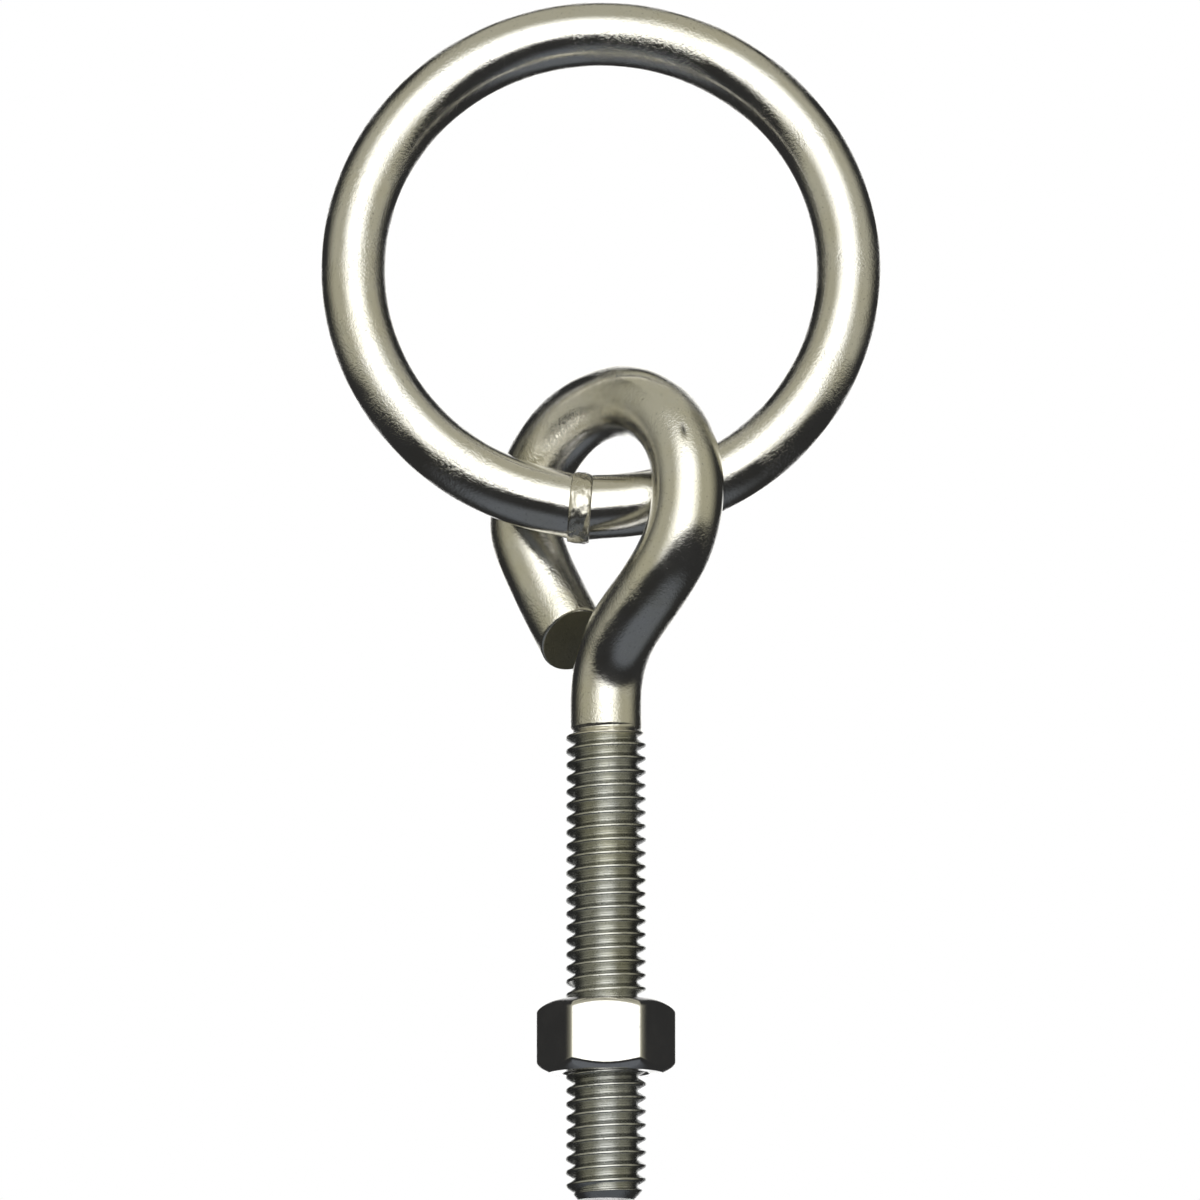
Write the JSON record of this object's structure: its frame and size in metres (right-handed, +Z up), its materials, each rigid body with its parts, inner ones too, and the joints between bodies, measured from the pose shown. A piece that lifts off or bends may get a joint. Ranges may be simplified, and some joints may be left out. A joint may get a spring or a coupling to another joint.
{
  "type": "eye bolt with ring",
  "caption": "Round-rod eye bolt with an open eye, a welded ring through the eye, and a hex nut on its machine thread.",
  "frame": {"origin": "inside of the ring's crown, where a hook bears", "axes": "+Z up along the bolt's shank, thread pointing to -Z; +Y to the back, away from the front of the nut's flat; +X to the right"},
  "size_m": [0.066, 0.0262, 0.143],
  "materials": {
    "bolt_steel": "bright zinc plate over drawn and rolled steel, faint yellow tint",
    "nut_steel": "bright zinc plate over machined steel",
    "ring_steel": "bright zinc plate over drawn wire, pitted underside",
    "weld_steel": "plated weld bead, rough"
  },
  "bodies": {
    "ring": {"ring": "ring_steel", "ring_weld": "weld_steel"},
    "bolt": {"eye_bolt": "bolt_steel"},
    "nut": {"hex_nut": "nut_steel"}
  },
  "joints": [
    {"name": "bolt_swing", "type": "hinge", "parent": "ring", "child": "bolt", "pos_m": [0.0006, -0.0072, -0.05242], "axis": [1, 0, 0], "range_deg": [-60, 150]},
    {"name": "nut_travel", "type": "slide", "parent": "bolt", "child": "nut", "axis": [0, 0, 1], "range_m": [-0.00953, 0.02857]}
  ]
}
